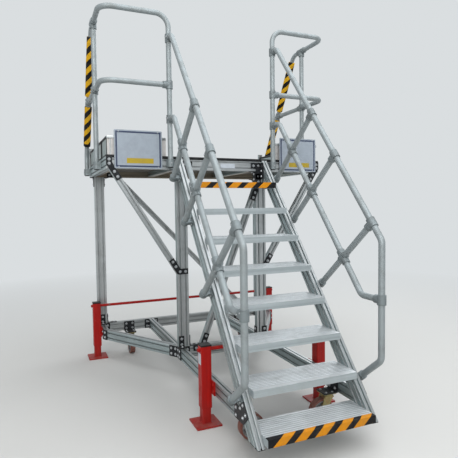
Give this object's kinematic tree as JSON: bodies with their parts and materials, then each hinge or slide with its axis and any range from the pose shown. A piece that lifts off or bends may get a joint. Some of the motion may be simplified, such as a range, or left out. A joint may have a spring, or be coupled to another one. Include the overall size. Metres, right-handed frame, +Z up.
{
  "type": "mobile aircraft cargo door access stand",
  "caption": "Mobile stair and raised deck with guard rails for reaching an aircraft cargo door, on a slotted aluminium frame with swivel castors and screw jacks.",
  "frame": {"origin": "on the floor below the middle of the stand, as it stands on its castors and jacks", "axes": "+Z up, +Y the way the stair climbs, towards the aircraft, +X to the right of a person climbing"},
  "size_m": [2.001, 2.558, 2.907],
  "materials": {
    "slotted_profile": "satin anodised",
    "plank": "mill finish, ribbed",
    "tread": "ribbed, satin",
    "rail_tube": "satin",
    "rail_clamp": "cast, matt",
    "foam": "matt foam",
    "buffer_rubber": "matt",
    "hazard_strip": "matt black with orange-yellow diagonal stripes",
    "edge_strip": "matt black",
    "kick_board": "smooth grey panel",
    "end_post": "satin",
    "black_plate": "black powder coat",
    "jack_red": "red gloss paint",
    "jack_cap": "black plastic",
    "castor_zinc": "yellow passivated zinc",
    "castor_rim": "grey casting",
    "castor_tyre": "red-brown solid tread"
  },
  "bodies": {
    "stand": {"base_diagonals": "slotted_profile", "base_rail_cross": "slotted_profile", "base_rail_left": "slotted_profile", "base_rail_rear": "slotted_profile", "base_rail_right": "slotted_profile", "base_side_rails": "slotted_profile", "castor_brackets": "black_plate", "castor_plates": "castor_zinc", "deck_beam_front": "slotted_profile", "deck_beam_rear": "slotted_profile", "deck_beams_side": "slotted_profile", "deck_joists": "slotted_profile", "deck_planks": "plank", "diagonal_braces": "slotted_profile", "edge_strips": "edge_strip", "end_posts": "end_post", "foam_pads": "foam", "guard_mid_left": "rail_tube", "guard_mid_right": "rail_tube", "guard_posts": "rail_tube", "guard_rail_left": "rail_tube", "guard_rail_right": "rail_tube", "gussets": "black_plate", "handrail_left": "rail_tube", "handrail_mid_left": "rail_tube", "handrail_mid_right": "rail_tube", "handrail_right": "rail_tube", "handrail_struts": "rail_tube", "hazard_nosings": "hazard_strip", "jack_caps": "jack_cap", "jack_housings": "jack_red", "jack_shafts": "jack_red", "kick_boards": "kick_board", "legs_front": "slotted_profile", "legs_rear": "slotted_profile", "pad_tubes": "rail_tube", "rail_clamps": "rail_clamp", "rear_buffer": "buffer_rubber", "stringer_left": "slotted_profile", "stringer_right": "slotted_profile", "treads": "tread", "wing_braces": "slotted_profile"},
    "castor_front_left": {"castor_fork_front_left": "castor_zinc"},
    "wheel_front_left": {"castor_rim_front_left": "castor_rim", "castor_tyre_front_left": "castor_tyre"},
    "castor_front_right": {"castor_fork_front_right": "castor_zinc"},
    "wheel_front_right": {"castor_rim_front_right": "castor_rim", "castor_tyre_front_right": "castor_tyre"},
    "castor_rear_left": {"castor_fork_rear_left": "castor_zinc"},
    "wheel_rear_left": {"castor_rim_rear_left": "castor_rim", "castor_tyre_rear_left": "castor_tyre"},
    "castor_rear_right": {"castor_fork_rear_right": "castor_zinc"},
    "wheel_rear_right": {"castor_rim_rear_right": "castor_rim", "castor_tyre_rear_right": "castor_tyre"},
    "jack_front_left": {"jack_leg_front_left": "jack_red"},
    "jack_front_right": {"jack_leg_front_right": "jack_red"},
    "jack_rear_left": {"jack_leg_rear_left": "jack_red"},
    "jack_rear_right": {"jack_leg_rear_right": "jack_red"}
  },
  "joints": [
    {"name": "castor_swivel_front_left", "type": "hinge", "parent": "stand", "child": "castor_front_left", "pos_m": [-0.297, -0.866, 0.195], "axis": [0, 0, 1], "continuous": true},
    {"name": "wheel_spin_front_left", "type": "hinge", "parent": "castor_front_left", "child": "wheel_front_left", "pos_m": [-0.252, -0.866, 0.08], "axis": [0, 1, 0], "continuous": true},
    {"name": "castor_swivel_front_right", "type": "hinge", "parent": "stand", "child": "castor_front_right", "pos_m": [0.297, -0.866, 0.195], "axis": [0, 0, 1], "continuous": true},
    {"name": "wheel_spin_front_right", "type": "hinge", "parent": "castor_front_right", "child": "wheel_front_right", "pos_m": [0.252, -0.866, 0.08], "axis": [0, 1, 0], "continuous": true},
    {"name": "castor_swivel_rear_left", "type": "hinge", "parent": "stand", "child": "castor_rear_left", "pos_m": [-0.595, 1.161, 0.195], "axis": [0, 0, 1], "continuous": true},
    {"name": "wheel_spin_rear_left", "type": "hinge", "parent": "castor_rear_left", "child": "wheel_rear_left", "pos_m": [-0.595, 1.116, 0.08], "axis": [1, 0, 0], "continuous": true},
    {"name": "castor_swivel_rear_right", "type": "hinge", "parent": "stand", "child": "castor_rear_right", "pos_m": [0.595, 1.161, 0.195], "axis": [0, 0, 1], "continuous": true},
    {"name": "wheel_spin_rear_right", "type": "hinge", "parent": "castor_rear_right", "child": "wheel_rear_right", "pos_m": [0.595, 1.116, 0.08], "axis": [1, 0, 0], "continuous": true},
    {"name": "jack_slide_front_left", "type": "slide", "parent": "stand", "child": "jack_front_left", "axis": [0, 0, 1], "range_m": [0, 0.09]},
    {"name": "jack_slide_front_right", "type": "slide", "parent": "stand", "child": "jack_front_right", "axis": [0, 0, 1], "range_m": [0, 0.09]},
    {"name": "jack_slide_rear_left", "type": "slide", "parent": "stand", "child": "jack_rear_left", "axis": [0, 0, 1], "range_m": [0, 0.09]},
    {"name": "jack_slide_rear_right", "type": "slide", "parent": "stand", "child": "jack_rear_right", "axis": [0, 0, 1], "range_m": [0, 0.09]}
  ],
  "couplings": [
    {"joint": "jack_slide_front_right", "follows": "jack_slide_front_left", "ratio": 1},
    {"joint": "jack_slide_rear_right", "follows": "jack_slide_rear_left", "ratio": 1}
  ]
}
